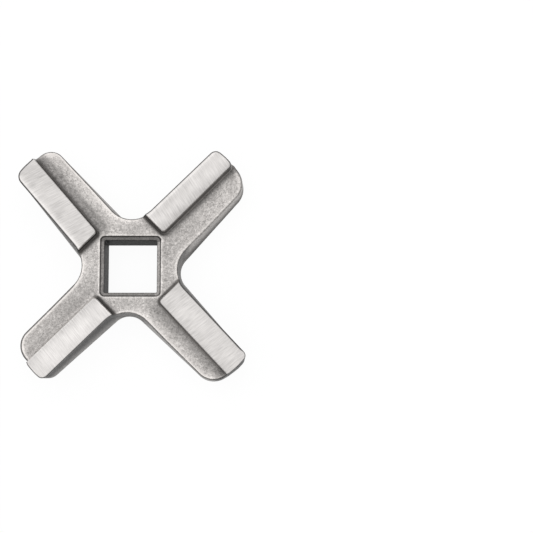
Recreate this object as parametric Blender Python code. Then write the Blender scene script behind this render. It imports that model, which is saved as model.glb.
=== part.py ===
"""Meat grinder knife: a cross of four arms cast in one piece, with a ground cutting land on each arm.

The knife lies on its flat back with +Z up. Its origin is on the back, on the axis of the square drive hole.
Each arm has a frame of its own: "out" runs from the axis to the tip, and "side" runs across the arm from
its leading side, which is negative, to its trailing side. Seen from above, trailing is clockwise.
"""
import math

import bmesh
import bpy
from mathutils import Vector

# Heights, in metres
HUB_HEIGHT = 0.0085
LAND_HEIGHT = 0.0025
SHOULDER_DROP = 0.0008
TROUGH_DEPTH = 0.0006

# Square drive hole
DRIVE_SQUARE = 0.0125
DRIVE_CORNER_ROUND = 0.0003
DRIVE_CHAMFER = 0.0010
DRIVE_BACK_CHAMFER = 0.0003
DRIVE_RIM_ROUND = 0.0011

# Arms: the sides are measured from the arm's centre line, halfway along the land
ARM_REACH = 0.0344
LEAD_SIDE = 0.0051
TRAIL_SIDE = 0.0061
LEAD_BACK_SIDE = 0.00555
TRAIL_BACK_SIDE = 0.00675
BACK_TAPER_DEG = 2.3
WAIST_ROUND = 0.0072
WAIST_BACK_ROUND = 0.0045
TIP_ROUND = 0.0047
TIP_CROWN = 0.0002
TIP_CROWN_ROUND = 0.0150
LEAD_TIP_ROUND = 0.0015
LEAD_TIP_BACK_ROUND = 0.0028
SHOULDER_SHORTFALL = 0.00025
BACK_ROUND = 0.0006

# Lands
LAND_START = 0.01115
LAND_WIDTH = 0.0056
LAND_CORNER_ROUND = 0.0007
LAND_END_ROUND = 0.0002
LAND_END_DRAFT_DEG = 14
LAND_SIDE_DRAFT_DEG = 6
EDGE_BEVEL_WIDTH = 0.0008
EDGE_BEVEL_DROP = 0.00012
FOOT_ROUND = 0.0007
FOOT_SINK = 0.00003

# Shoulders: the distance from the axis where the drop begins, and where it is complete
SHOULDER_START = 0.0090
SHOULDER_FULL = 0.0210
SHOULDER_RUNOUT = 0.00015

# Each arm was finished by hand and differs a little. The order is counterclockwise from the first arm.
ARM_ANGLES_DEG = (45, 135, 225, 315)
LEAD_LEANS_DEG = (0.6, 4.2, 0.6, 1.7)
TRAIL_LEANS_DEG = (-1.2, 2.9, 0.7, 0.4)
TIP_LEANS_DEG = (3.6, 2.3, -0.6, 0.0)
SHOULDER_LEANS_DEG = (-7.4, -1.2, -0.6, -15.5)
REACH_SHARES = (0.996, 1.002, 0.97, 1.013)
LEAD_SHARES = (1.1, 1.024, 1.021, 0.984)
TRAIL_SHARES = (1.0, 1.06, 1.02, 1.024)
LAND_WIDTH_SHARES = (1.007, 1.087, 1.03, 1.157)
SHORTFALL_SHARES = (-1.44, -0.6, 1.0, 0.8)
TIP_ROUND_SHARES = (1.075, 0.81, 0.99, 1.045)
LEAD_TIP_SHARES = (1.2, 1.5, 1.0, 0.8)
LEAD_TIP_BACK_SHARES = (1.05, 0.95, 1.7, 0.7)

# Overrun of every cutter past the surface that it cuts through
OVERRUN = 0.0020

ARC_STEPS = 8
ARC_ROOM_SHARE = 0.96
LEAST_ROUND_SHARE = 0.25
BACK_STEPS = 4
FOOT_STEPS = 4
SHOULDER_STEPS = 14
TROUGH_STEPS = 10

TOP = HUB_HEIGHT + LAND_HEIGHT
MID_ARM = (LAND_START + ARM_REACH) / 2


def clear_scene():
    """Remove whatever the scene held before."""
    for old in list(bpy.data.objects):
        bpy.data.objects.remove(old, do_unlink=True)


def new_collection(name, parent):
    """Make a collection and link it under another."""
    group = bpy.data.collections.new(name)
    parent.children.link(group)
    return group


def mesh_object(name, bm, group):
    """Turn a bmesh into an object with its faces outward."""
    bmesh.ops.recalc_face_normals(bm, faces=bm.faces)
    mesh = bpy.data.meshes.new(name)
    bm.to_mesh(mesh)
    bm.free()
    made = bpy.data.objects.new(name, mesh)
    group.objects.link(made)
    return made


def as_cutter(cutter):
    """Mark an object as a cutter."""
    cutter.display_type = 'WIRE'
    cutter.hide_render = True
    return cutter


def loft(name, rings, group):
    """Join closed rings of equal length, from the lowest to the highest, into a capped solid."""
    bm = bmesh.new()
    made = [[bm.verts.new(point) for point in ring] for ring in rings]
    count = len(made[0])
    for lower, upper in zip(made, made[1:]):
        for i in range(count):
            j = (i + 1) % count
            bm.faces.new((lower[i], lower[j], upper[j], upper[i]))
    bm.faces.new(made[0])
    bm.faces.new(made[-1])
    return mesh_object(name, bm, group)


def rounded(corners):
    """Turn (point, radius) corners of a flat polygon into an outline with an arc at each corner.

    Two arcs that share a side shrink together where the side is too short for both.
    """
    count = len(corners)
    sides = [corners[(i + 1) % count][0] - corners[i][0] for i in range(count)]
    halves = [(-sides[i - 1]).angle(sides[i]) / 2 for i in range(count)]
    cuts = [radius / math.tan(half) for (point, radius), half in zip(corners, halves)]
    wants = [cuts[i] + cuts[(i + 1) % count] for i in range(count)]
    rooms = [min(1, ARC_ROOM_SHARE * side.length / want) if want else 1 for side, want in zip(sides, wants)]
    outline = []
    for i, (corner, radius) in enumerate(corners):
        if not radius:
            outline.append(corner)
            continue
        cut = cuts[i] * min(rooms[i - 1], rooms[i])
        before = -sides[i - 1].normalized() * cut
        after = sides[i].normalized() * cut
        middle = (before + after).normalized() * (cut / math.cos(halves[i]))
        sweep = math.pi - 2 * halves[i]
        for step in range(ARC_STEPS + 1):
            part = step / ARC_STEPS
            weights = [math.sin(share * sweep) / math.sin(sweep) for share in (1 - part, part)]
            outline.append(corner + middle + (before - middle) * weights[0] + (after - middle) * weights[1])
    return outline


def at_height(outline, height):
    """Lift a flat outline to a height."""
    return [(point.x, point.y, height) for point in outline]


class Arm:
    """One arm of the cross, with its own small differences."""

    def __init__(self, index):
        self.angle = math.radians(ARM_ANGLES_DEG[index])
        self.reach = ARM_REACH * REACH_SHARES[index]
        self.lead_lean = math.radians(LEAD_LEANS_DEG[index])
        self.trail_lean = math.radians(TRAIL_LEANS_DEG[index])
        self.tip_lean = math.radians(TIP_LEANS_DEG[index])
        self.shoulder_lean = math.radians(SHOULDER_LEANS_DEG[index])
        self.shoulder_shortfall = SHOULDER_SHORTFALL * SHORTFALL_SHARES[index]
        self.edge_side = -LEAD_SIDE * LEAD_SHARES[index]
        self.trail_growth = TRAIL_SIDE * (TRAIL_SHARES[index] - 1)
        self.land_width = LAND_WIDTH * LAND_WIDTH_SHARES[index]
        self.tip_round = TIP_ROUND * TIP_ROUND_SHARES[index]
        self.lead_tip_round = LEAD_TIP_ROUND * LEAD_TIP_SHARES[index]
        self.lead_tip_back_round = LEAD_TIP_BACK_ROUND * LEAD_TIP_BACK_SHARES[index]

    def place(self, out, side):
        """Point of the plan at a distance out along the arm and to the side of it."""
        along = Vector((math.cos(self.angle), math.sin(self.angle)))
        across = Vector((along.y, -along.x))
        return along * out + across * side

    def out_of(self, point):
        """Distance out along the arm of a point of the plan."""
        return point.dot(self.place(1, 0))

    def side_of(self, point):
        """Distance of a point of the plan to the side of the arm."""
        return point.dot(self.place(0, 1))

    def end(self, side):
        """Distance out of the land's end at a side: the end isn't quite square to the arm."""
        return self.reach + math.tan(self.tip_lean) * side

    def shoulder_end(self, side):
        """Distance out of the shoulder's end at a side: it steps at the land's foot and leans its own way."""
        foot = self.land_foot(self.reach)
        return self.end(foot) - self.shoulder_shortfall + math.tan(self.shoulder_lean) * (side - foot)

    def edge(self, out):
        """Side of the cutting edge at a distance out."""
        return self.edge_side + math.tan(self.lead_lean) * (out - MID_ARM)

    def land_foot(self, out):
        """Side of the land's trailing edge at a distance out."""
        return self.edge(out) + self.land_width

    def lead(self, level):
        """Line of the leading side, as two points, on the back or at the top."""
        back_shift = LEAD_SIDE - LEAD_BACK_SIDE if level == 'back' else 0
        taper = math.tan(math.radians(BACK_TAPER_DEG)) if level == 'back' else 0
        return [self.place(out, self.edge(out) + back_shift + taper * (out - MID_ARM))
                for out in (LAND_START, ARM_REACH)]

    def trail(self, level):
        """Line of the trailing side, as two points, on the back or at the top."""
        side = self.trail_growth + (TRAIL_BACK_SIDE if level == 'back' else TRAIL_SIDE)
        taper = math.tan(math.radians(BACK_TAPER_DEG)) if level == 'back' else 0
        slope = math.tan(self.trail_lean) - taper
        return [self.place(out, side + slope * (out - MID_ARM)) for out in (LAND_START, ARM_REACH)]

    def land_tip(self, inset):
        """Line of the land's end, as two points."""
        return [self.place(self.end(side) - inset, side) for side in (-LEAD_SIDE, TRAIL_SIDE)]

    def shoulder_tip(self, inset):
        """Line of the shoulder's end, as two points."""
        return [self.place(self.shoulder_end(side) - inset, side) for side in (-LEAD_SIDE, TRAIL_SIDE)]


def crossing(first, second):
    """Point where two lines meet, each given by two points."""
    run, other = first[1] - first[0], second[1] - second[0]
    gap = second[0] - first[0]
    share = gap.cross(other) / run.cross(other)
    return first[0] + run * share


def moved_in(line, distance, towards):
    """The same line moved sideways by a distance, to the side where a point lies."""
    run = (line[1] - line[0]).normalized()
    across = Vector((run.y, -run.x))
    if across.dot(towards - line[0]) < 0:
        across = -across
    return [point + across * distance for point in line]


def shrunk(radius, inset):
    """Radius of an outward corner once the outline has moved in."""
    return max(radius - inset, radius * LEAST_ROUND_SHARE)


def cross_outline(arms, level, inset=0, edge_inset=0):
    """Outline of the cross on the back or at the top, counterclockwise, moved in where asked."""
    waist = WAIST_BACK_ROUND if level == 'back' else WAIST_ROUND
    corners = []
    for i, arm in enumerate(arms):
        following = arms[(i + 1) % len(arms)]
        lead = moved_in(arm.lead(level), inset + edge_inset, arm.place(MID_ARM, 0))
        trail = moved_in(arm.trail(level), inset, arm.place(MID_ARM, 0))
        next_trail = moved_in(following.trail(level), inset, following.place(MID_ARM, 0))
        notch = arm.land_foot(arm.reach) - inset
        notch_end = arm.end(notch) - inset
        crown = arm.land_foot(arm.reach) - arm.land_width / 2
        crown_end = arm.end(crown) - inset + TIP_CROWN
        lead_tip = arm.lead_tip_back_round if level == 'back' else arm.lead_tip_round
        corners.append((crossing(trail, arm.shoulder_tip(inset)), shrunk(arm.tip_round, inset)))
        corners.append((arm.place(arm.shoulder_end(notch) - inset, notch), 0))
        corners.append((arm.place(notch_end, notch), shrunk(LAND_END_ROUND, inset)))
        corners.append((arm.place(crown_end, crown), TIP_CROWN_ROUND))
        corners.append((crossing(lead, arm.land_tip(inset)), shrunk(lead_tip, inset)))
        corners.append((crossing(lead, next_trail), waist + inset))
    return rounded(corners)


def make_blank(arms, group):
    """The cross up to the lands: rounded back edge, drafted sides, low bevel along each cutting edge."""
    rings = []
    for step in range(BACK_STEPS + 1):
        turn = math.pi / 2 * step / BACK_STEPS
        inset = BACK_ROUND * (1 - math.sin(turn))
        rings.append(at_height(cross_outline(arms, 'back', inset), BACK_ROUND * (1 - math.cos(turn))))
    rings.append(at_height(cross_outline(arms, 'top'), TOP - EDGE_BEVEL_DROP))
    rings.append(at_height(cross_outline(arms, 'top', 0, EDGE_BEVEL_WIDTH), TOP))
    return loft('cross_knife', rings, group)


def shoulder_floor(out, share):
    """Height of the hollow shoulder at a distance out, from the land's foot (0) to the rim (1)."""
    part = min(max((out - SHOULDER_START) / (SHOULDER_FULL - SHOULDER_START), 0), 1)
    ramp = part * part * (3 - 2 * part)
    hollow = TROUGH_DEPTH * 4 * share * (1 - share)
    return HUB_HEIGHT + SHOULDER_RUNOUT - ramp * (SHOULDER_DROP + SHOULDER_RUNOUT + hollow)


def floor_under(arm, point):
    """Height of the hub or the hollow shoulder under a point of the plan."""
    out = arm.out_of(point)
    foot = arm.land_foot(out)
    share = (arm.side_of(point) - foot) / (TRAIL_BACK_SIDE - foot)
    return min(HUB_HEIGHT, shoulder_floor(out, min(max(share, 0), 1)))


def stations(arm, start):
    """Distances out, from where something starts to past the tip."""
    last = arm.reach + 2 * OVERRUN
    return [start + (last - start) * step / SHOULDER_STEPS for step in range(SHOULDER_STEPS + 1)]


def shoulder_cutter(arm, group):
    """What is missing above one shoulder: a loft along the arm, open past the rim and the tip."""
    sections = []
    for out in stations(arm, SHOULDER_START):
        foot = arm.land_foot(out)
        section = []
        for point in range(TROUGH_STEPS + 1):
            share = point / TROUGH_STEPS
            plan = arm.place(out, foot + (TRAIL_BACK_SIDE - foot) * share)
            section.append((plan.x, plan.y, shoulder_floor(out, share)))
        rim = shoulder_floor(out, 1)
        outside = arm.place(out, TRAIL_BACK_SIDE + OVERRUN)
        inside = arm.place(out, foot - OVERRUN)
        section.append((outside.x, outside.y, rim))
        section.append((outside.x, outside.y, TOP))
        section.append((inside.x, inside.y, TOP))
        section.append((inside.x, inside.y, rim))
        sections.append(section)
    return as_cutter(loft('shoulder cutter', sections, group))


def land_ring(arm, end_spread, side_spread):
    """Plan of one land, spread at its inner end and trailing side, and open past the edge and the tip."""
    start = LAND_START - end_spread
    lead = -LEAD_BACK_SIDE - 2 * OVERRUN
    last = arm.reach + 2 * OVERRUN
    corner = arm.place(start, arm.land_foot(start) + side_spread)
    corners = [(arm.place(start, lead), 0), (corner, LAND_CORNER_ROUND + side_spread)]
    for out in stations(arm, LAND_START + 2 * (LAND_CORNER_ROUND + FOOT_ROUND)):
        corners.append((arm.place(out, arm.land_foot(out) + side_spread), 0))
    corners.append((arm.place(last, lead), 0))
    return rounded(corners)


def land_block(arm, group):
    """One land with its drafted walls and the fillet at its foot, which follows the shoulder down."""
    end_slope = math.tan(math.radians(LAND_END_DRAFT_DEG))
    side_slope = math.tan(math.radians(LAND_SIDE_DRAFT_DEG))
    profile = [(-OVERRUN, FOOT_ROUND)]
    for step in range(FOOT_STEPS + 1):
        turn = math.pi / 2 * step / FOOT_STEPS
        profile.append((FOOT_ROUND * (1 - math.cos(turn)) - FOOT_SINK, FOOT_ROUND * (1 - math.sin(turn))))
    rings = []
    for lift, flare in profile:
        outline = land_ring(arm, end_slope * (LAND_HEIGHT - lift) + flare,
                            side_slope * (LAND_HEIGHT + SHOULDER_DROP - lift) + flare)
        rings.append([(point.x, point.y, floor_under(arm, point) + lift) for point in outline])
    rings.append(at_height(land_ring(arm, -end_slope * OVERRUN, -side_slope * OVERRUN), TOP + OVERRUN))
    return as_cutter(loft('land block', rings, group))


def add_boolean(target, name, operation, cutter):
    """Cut a target by an object, join the two, or keep what they share."""
    change = target.modifiers.new(name, 'BOOLEAN')
    change.operation = operation
    change.solver = 'EXACT'
    change.object = cutter


def make_upper_form(arms, group):
    """Everything under the knife's upper surface: the hub's flat, the hollow shoulders and the lands."""
    span = 2 * (max(arm.reach for arm in arms) + OVERRUN)
    height = HUB_HEIGHT + OVERRUN
    bpy.ops.mesh.primitive_cube_add(size=1, location=(0, 0, HUB_HEIGHT - height / 2))
    form = bpy.context.object
    form.name = 'upper form'
    form.scale = (span, span, height)
    bpy.ops.object.transform_apply(location=True, rotation=False, scale=True)
    for holder in list(form.users_collection):
        holder.objects.unlink(form)
    group.objects.link(form)
    for arm in arms:
        add_boolean(form, 'shoulder', 'DIFFERENCE', shoulder_cutter(arm, group))
    for arm in arms:
        add_boolean(form, 'land', 'UNION', land_block(arm, group))
    return as_cutter(form)


def square_outline(half, radius):
    """A square with rounded corners."""
    signs = ((1, 1), (-1, 1), (-1, -1), (1, -1))
    return rounded([(Vector((half * x, half * y)), radius) for x, y in signs])


def drive_cutter(group):
    """The square drive hole with a chamfer at the hub's top and at the back."""
    half = DRIVE_SQUARE / 2
    flared = half + DRIVE_CHAMFER + OVERRUN
    flared_back = half + DRIVE_BACK_CHAMFER + OVERRUN
    rings = [
        at_height(square_outline(flared_back, DRIVE_CORNER_ROUND + OVERRUN), -OVERRUN),
        at_height(square_outline(half, DRIVE_CORNER_ROUND), DRIVE_BACK_CHAMFER),
        at_height(square_outline(half, DRIVE_CORNER_ROUND), HUB_HEIGHT - DRIVE_CHAMFER),
        at_height(square_outline(flared, DRIVE_RIM_ROUND + OVERRUN), HUB_HEIGHT + OVERRUN),
    ]
    return as_cutter(loft('drive cutter', rings, group))


def steel():
    """Bare stainless steel, ground and cast."""
    material = bpy.data.materials.new('stainless steel')
    material.use_nodes = True
    shader = material.node_tree.nodes['Principled BSDF']
    shader.inputs['Base Color'].default_value = (0.56, 0.55, 0.53, 1)
    shader.inputs['Metallic'].default_value = 1
    shader.inputs['Roughness'].default_value = 0.38
    return material


def main():
    """Build the knife."""
    clear_scene()
    parts = new_collection('meat grinder knife', bpy.context.scene.collection)
    cutters = new_collection('cutters', bpy.context.scene.collection)
    arms = [Arm(index) for index in range(len(ARM_ANGLES_DEG))]
    knife = make_blank(arms, parts)
    add_boolean(knife, 'upper surface', 'INTERSECT', make_upper_form(arms, cutters))
    add_boolean(knife, 'drive hole', 'DIFFERENCE', drive_cutter(cutters))
    knife.data.materials.append(steel())


main()
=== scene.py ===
# %% [markdown]
# A meat grinder knife, from the steel up
#
# The knife is one piece of stainless steel. It is cast as a cross, and then only four strips of it are
# ground: the lands, which do the cutting. So it shows two finishes side by side, bright ground steel and
# matt cast steel, and most of this lesson is about telling those two apart.
#
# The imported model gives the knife's place and size. This script makes a finer knife in that place: the same
# forms, with rounded edges, fillets and a cast skin that the plain solid doesn't have.

# %% Load the frame
import math

import bpy
import bmesh
import numpy as np
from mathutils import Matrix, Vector
from mathutils.geometry import delaunay_2d_cdt
from mathutils.kdtree import KDTree


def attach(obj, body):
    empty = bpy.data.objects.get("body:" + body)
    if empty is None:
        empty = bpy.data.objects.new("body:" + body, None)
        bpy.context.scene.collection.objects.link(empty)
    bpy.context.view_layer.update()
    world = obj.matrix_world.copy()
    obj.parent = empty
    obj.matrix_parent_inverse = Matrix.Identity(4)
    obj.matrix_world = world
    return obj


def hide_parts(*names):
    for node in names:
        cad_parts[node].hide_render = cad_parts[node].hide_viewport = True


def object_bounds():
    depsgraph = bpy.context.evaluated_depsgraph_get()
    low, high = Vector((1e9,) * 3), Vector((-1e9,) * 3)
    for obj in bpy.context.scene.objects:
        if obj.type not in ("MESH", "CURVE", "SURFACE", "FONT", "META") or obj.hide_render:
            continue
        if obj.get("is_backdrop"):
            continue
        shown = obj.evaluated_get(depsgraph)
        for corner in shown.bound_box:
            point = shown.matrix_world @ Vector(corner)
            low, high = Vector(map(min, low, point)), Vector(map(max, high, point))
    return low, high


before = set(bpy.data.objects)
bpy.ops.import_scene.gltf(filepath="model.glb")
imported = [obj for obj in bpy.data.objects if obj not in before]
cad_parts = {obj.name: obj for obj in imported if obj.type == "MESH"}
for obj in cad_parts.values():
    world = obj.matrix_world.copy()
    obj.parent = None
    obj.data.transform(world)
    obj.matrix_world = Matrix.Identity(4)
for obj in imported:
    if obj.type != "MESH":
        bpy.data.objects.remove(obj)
cad_low, cad_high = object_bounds()
print("the solid's box in mm:", [round(v * 1000, 2) for v in (*cad_low, *cad_high)])

# %% [markdown]
# The sizes of the knife
#
# A maker draws such a knife from a few sizes in millimetres, and so does this script. They are the solid's
# own sizes, and the overall height is read from the solid itself. The hub is lower than the lands. Beside
# each land the arm sinks further and is hollowed a little: that part is the shoulder. The leading side of
# an arm is the one that cuts. Both sides stand out further at the back than at the top.

# %% Sizes in millimetres
MM = 0.001
top = cad_high.z / MM
hub = 8.5
shoulder_drop, trough_depth = 0.8, 0.6
shoulder_start, shoulder_full = 9.0, 21.0
drive_half = 6.25
arm_reach = 34.4
lead_side, trail_side = 5.1, 6.1
lead_back_side, trail_back_side = 5.6, 6.75
back_taper = math.tan(math.radians(2.3))
land_start, land_width = 11.15, 5.6
middle_of_arm = (land_start + arm_reach) / 2
print("heights of the hub and of the lands in mm:", hub, round(top, 2))

# %% [markdown]
# Four arms, each a little different
#
# Every arm was finished by hand, so each one leans and reaches a little differently. Those differences are
# kept as one table of each kind, in the order of the arms, counterclockwise from the one at the upper
# right. A lean is written in degrees and kept as a slope.
#
# The first tables are about the two sides of an arm and the land on it. A lip is how far the wall stands
# outside the cutting edge. The next tables are about the end of an arm, where the shoulder steps out or in
# beside the land. A tip gap runs the land's crest on past the end, so that its edge stays sharp there. The
# last tables are the radii of the corners at the tip, at the top and at the back.

# %% The arms' own differences
arm_turns = np.radians([45, 135, 225, 315])
arms = range(len(arm_turns))

lead_leans = np.tan(np.radians([0.6, 4.2, 0.6, 1.7]))
edge_sides = -lead_side * np.array([1.07, 1.0, 1.005, 0.96])
lips = np.array([0.15, 0.12, 0.08, 0.12])
back_lips = np.array([0.1, 0.14, 0.0, 0.06])
land_widths = land_width * np.array([0.985, 1.065, 1.01, 1.135])
foot_leans = np.tan(np.radians([-0.9, 0.0, 0.0, 0.0]))
trail_leans = np.tan(np.radians([-1.2, 2.9, 0.7, 0.4]))
trail_growths = trail_side * np.array([0.0, 0.06, 0.02, 0.024])

reaches = arm_reach * np.array([0.996, 1.002, 0.97, 1.013])
tip_leans = np.tan(np.radians([3.6, 2.3, -0.6, 0.0]))
shoulder_leans = np.tan(np.radians([-7.4, -1.2, -0.6, -15.5]))
foot_steps = np.array([0.36, 0.15, -0.25, -0.2])
notch_shifts = np.array([0.0, 0.0, -0.1, 0.0])
tip_gaps = np.array([0.0, 0.0, 0.3, 0.12])

tip_rounds = np.array([5.05, 3.8, 4.65, 4.9])
lead_tip_rounds = np.array([1.8, 2.3, 1.5, 1.4])
lead_tip_back_rounds = np.array([3.0, 2.6, 8.5, 2.3])
print("the knife sweeps a circle of", round(2 * reaches.max(), 1), "mm")

# %% [markdown]
# Each arm's own directions
#
# Everything on an arm is easier to say along it and across it than in X and Y. "Out" runs from the axis to
# the tip. "Side" runs across the arm: negative on the leading side, where the land is, and positive on the
# trailing side, where the shoulder is. Two small functions turn one kind of place into the other.

# %% Places on an arm
def place(arm, out, side):
    """The X and Y of a point, or of many, given along and across an arm."""
    along = np.array([math.cos(arm_turns[arm]), math.sin(arm_turns[arm])])
    across = np.array([along[1], -along[0]])
    return np.multiply.outer(out, along) + np.multiply.outer(side, across)


def on_arm(points):
    """For each point: the arm it lies on, how far out, and how far to the side."""
    along = np.stack([np.cos(arm_turns), np.sin(arm_turns)])
    outs = points @ along
    sides = points @ np.stack([along[1], -along[0]])
    arm = outs.argmax(1)
    rows = np.arange(len(points))
    return arm, outs[rows, arm], sides[rows, arm]


def edge_of(arm, out):
    """Side of the cutting edge."""
    return edge_sides[arm] + lead_leans[arm] * (out - middle_of_arm)


def foot_of(arm, out):
    """Side of the land's trailing edge."""
    return edge_of(arm, out) + land_widths[arm] + foot_leans[arm] * (out - middle_of_arm)


def end_of(arm, side):
    """How far out the land ends."""
    return reaches[arm] + tip_leans[arm] * side


def shoulder_end_of(arm, side):
    """How far out the shoulder ends: it steps out or in at the land's foot and leans its own way."""
    foot = foot_of(arm, reaches[arm])
    return end_of(arm, foot) + foot_steps[arm] + shoulder_leans[arm] * (side - foot)


print("land widths in mm:", land_widths.round(2).tolist())

# %% [markdown]
# The outline of the cross
#
# Seen from above, the knife is an outline with a square hole. Such an outline is quickest to get right as a
# list of sharp corners, each with the radius that rounds it. The corners are drawn twice, at the height of
# the lands and at the back, because the walls of a casting are drafted: they lean, so that it comes out of
# its mould. Both outlines have the same number of points, so that a wall can join them later.
#
# Six corners make an arm: the shoulder's tip, two for the small notch where the land begins, the faint
# crown of the land's own end, the leading tip, and the waist that leads over to the next arm.

# %% Rounded outlines
def rounded(corners):
    """An outline from corners: x, y, radius, then the pieces of the arc and of the straight side after it."""
    points = np.array([corner[:2] for corner in corners], float)
    radii, arc_pieces, side_pieces = zip(*[corner[2:] for corner in corners])
    sides = np.roll(points, -1, 0) - points
    lengths = np.hypot(*sides.T)
    ahead = sides / lengths[:, None]
    behind = -np.roll(ahead, 1, 0)
    halves = np.arccos(np.clip((ahead * behind).sum(1), -1, 1)) / 2
    cuts = np.array(radii) / np.tan(halves)
    room = lengths * 0.96 / np.maximum(cuts + np.roll(cuts, -1), 1e-9)
    cuts = cuts * np.minimum(1, np.minimum(room, np.roll(room, 1)))
    outline = []
    for i, point in enumerate(points):
        centre = (ahead[i] + behind[i]) / np.linalg.norm(ahead[i] + behind[i]) * cuts[i] / math.cos(halves[i])
        sweep = math.pi - 2 * halves[i]
        for part in np.linspace(0, 1, arc_pieces[i] + 1) if arc_pieces[i] else [0.5]:
            first, last = np.sin([(1 - part) * sweep, part * sweep]) / math.sin(sweep)
            outline.append(point + centre + (behind[i] * cuts[i] - centre) * first
                           + (ahead[i] * cuts[i] - centre) * last)
        end = points[(i + 1) % len(points)] - ahead[i] * cuts[(i + 1) % len(points)]
        for part in np.linspace(0, 1, side_pieces[i] + 1)[1:-1]:
            outline.append((point + ahead[i] * cuts[i]) * (1 - part) + end * part)
    return np.array(outline)


def crossing(first, second):
    """Where two lines meet, each given by two points."""
    run, other = first[1] - first[0], second[1] - second[0]
    gap = second[0] - first[0]
    return first[0] + run * (gap[0] * other[1] - gap[1] * other[0]) / (run[0] * other[1] - run[1] * other[0])


def lead_line(arm, back):
    """The leading side of an arm, as two points."""
    outs = np.array([land_start, arm_reach])
    grown = back * (lead_side - lead_back_side + back_taper * (outs - middle_of_arm))
    grown = grown - (back_lips if back else lips)[arm]
    return place(arm, outs, edge_of(arm, outs) + grown)


def trail_line(arm, back):
    """The trailing side of an arm, as two points."""
    outs = np.array([land_start, arm_reach])
    side = trail_growths[arm] + (trail_back_side if back else trail_side)
    return place(arm, outs, side + (trail_leans[arm] - back * back_taper) * (outs - middle_of_arm))


def cross_outline(back):
    """The outline of the knife at the height of the lands, or at the back."""
    waist, crown_round = (4.5, 8) if back else (7.2, 15)
    notch_round, notch_width = (2.0, 1.5) if back else (0.6, 0.5)
    lead_tips = lead_tip_back_rounds if back else lead_tip_rounds
    crown = 0.2
    corners = []
    for arm in arms:
        low = foot_of(arm, reaches[arm]) + notch_shifts[arm]
        high, crest = low - notch_width, foot_of(arm, reaches[arm]) - land_widths[arm] / 2
        lead_end = place(arm, end_of(arm, np.array([-lead_side, crest])), np.array([-lead_side, crest]))
        shoulder = np.array([low, trail_side])
        shoulder_end = place(arm, shoulder_end_of(arm, shoulder), shoulder)
        next_trail = trail_line((arm + 1) % len(arms), back)
        corners += [
            (*crossing(trail_line(arm, back), shoulder_end), tip_rounds[arm], 22, 5),
            (*place(arm, shoulder_end_of(arm, low), low), notch_round, 2, 1),
            (*place(arm, end_of(arm, high), high), notch_round, 2, 6),
            (*place(arm, end_of(arm, crest) + crown, crest), crown_round, 4, 4),
            (*crossing(lead_line(arm, back), lead_end), lead_tips[arm], 8, 76),
            (*crossing(lead_line(arm, back), next_trail), waist, 30, 68),
        ]
    return rounded(corners)


top_outline = cross_outline(back=False)
back_outline = cross_outline(back=True)
print("outline points:", len(top_outline), "and", len(back_outline))

# %% [markdown]
# The height of every point
#
# Nothing on the upper side overhangs, so its shape is one rule: give a point of the plan, get its height.
# The rule is built up in layers. The shoulder is a floor that sinks from the hub towards the tip, hollowed
# a little between the land and the rim. The land is a plateau. How far a point lies outside the plateau's
# crest tells which stretch of the profile it is on: the rounded crest, the steep drafted wall, the fillet
# at the foot, or the floor. A low bevel takes the corner off along the cutting edge.

# %% The height rule
crest_round, foot_round = 0.14, 0.7
corner_round = 0.7
outer_corner_rounds = np.array([1.5, 0.6, 0.6, 0.6])
bevel_width, bevel_drop = 0.8, 0.12
end_draft, side_draft = math.tan(math.radians(14)), math.tan(math.radians(6))


def smooth_step(x, low, high):
    """0 below low, 1 above high, and a smooth ramp between."""
    part = np.clip((x - low) / (high - low), 0, 1)
    return part * part * (3 - 2 * part)


def outside_corner(a, b, radius):
    """Distance outside a rounded corner between two edges, from the distances outside each edge."""
    a, b = a + radius, b + radius
    return np.hypot(np.maximum(a, 0), np.maximum(b, 0)) + np.minimum(np.maximum(a, b), 0) - radius


def land_distance(arm, out, side):
    """Distance outside the land's crest, and how much of it points to the land's inner end."""
    inner = land_start - out
    trailing = side - foot_of(arm, out)
    tip = out - end_of(arm, side) - tip_gaps[arm]
    distance = np.maximum(outside_corner(inner, trailing, corner_round),
                          outside_corner(tip, trailing, outer_corner_rounds[arm]))
    end_part = np.clip(inner + corner_round, 0, None) ** 2
    side_part = np.clip(trailing + corner_round, 0, None) ** 2
    return distance, end_part / np.maximum(end_part + side_part, 1e-9)


def floor_height(arm, out, side):
    """Height of the hub or of the hollow shoulder, which leaves the hub at a faint crease."""
    foot = foot_of(arm, out)
    share = np.clip((side - foot) / (trail_back_side - foot), 0, 1)
    ramp = smooth_step(out, shoulder_start, shoulder_full)
    sink = shoulder_drop + trough_depth * 4 * share * (1 - share)
    runout = 0.15
    return np.minimum(hub, hub + runout - ramp * (sink + runout))


def height_of(points):
    """Height of the upper side at each point of the plan."""
    arm, out, side = on_arm(points)
    distance, endwise = land_distance(arm, out, side)
    floor = floor_height(arm, out, side)
    draft = side_draft + (end_draft - side_draft) * endwise
    foot = (top - floor) * draft
    crest = top - crest_round + np.sqrt(np.clip(crest_round ** 2 - (distance + crest_round) ** 2, 0, None))
    down = np.clip(distance / foot, 0, 1)
    wall = (top - crest_round) * (1 - down) + (floor + foot_round) * down
    past = np.clip(distance - foot, 0, foot_round)
    fillet = floor + foot_round - np.sqrt(foot_round ** 2 - (foot_round - past) ** 2)
    bevel = bevel_drop * np.clip(1 - (side - edge_of(arm, out)) / bevel_width, 0, 1)
    height = np.where(distance < foot, wall, fillet)
    height = np.where(distance < 0, crest, height)
    height = np.where(distance < -crest_round, top, height)
    return height - bevel * (distance < 0)


some_places = place(0, np.array([5, 9, 20, 20, 30]), np.array([0, 0, -2, 3, 4]))
print("heights on the first arm:", height_of(some_places).round(2))

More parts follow.
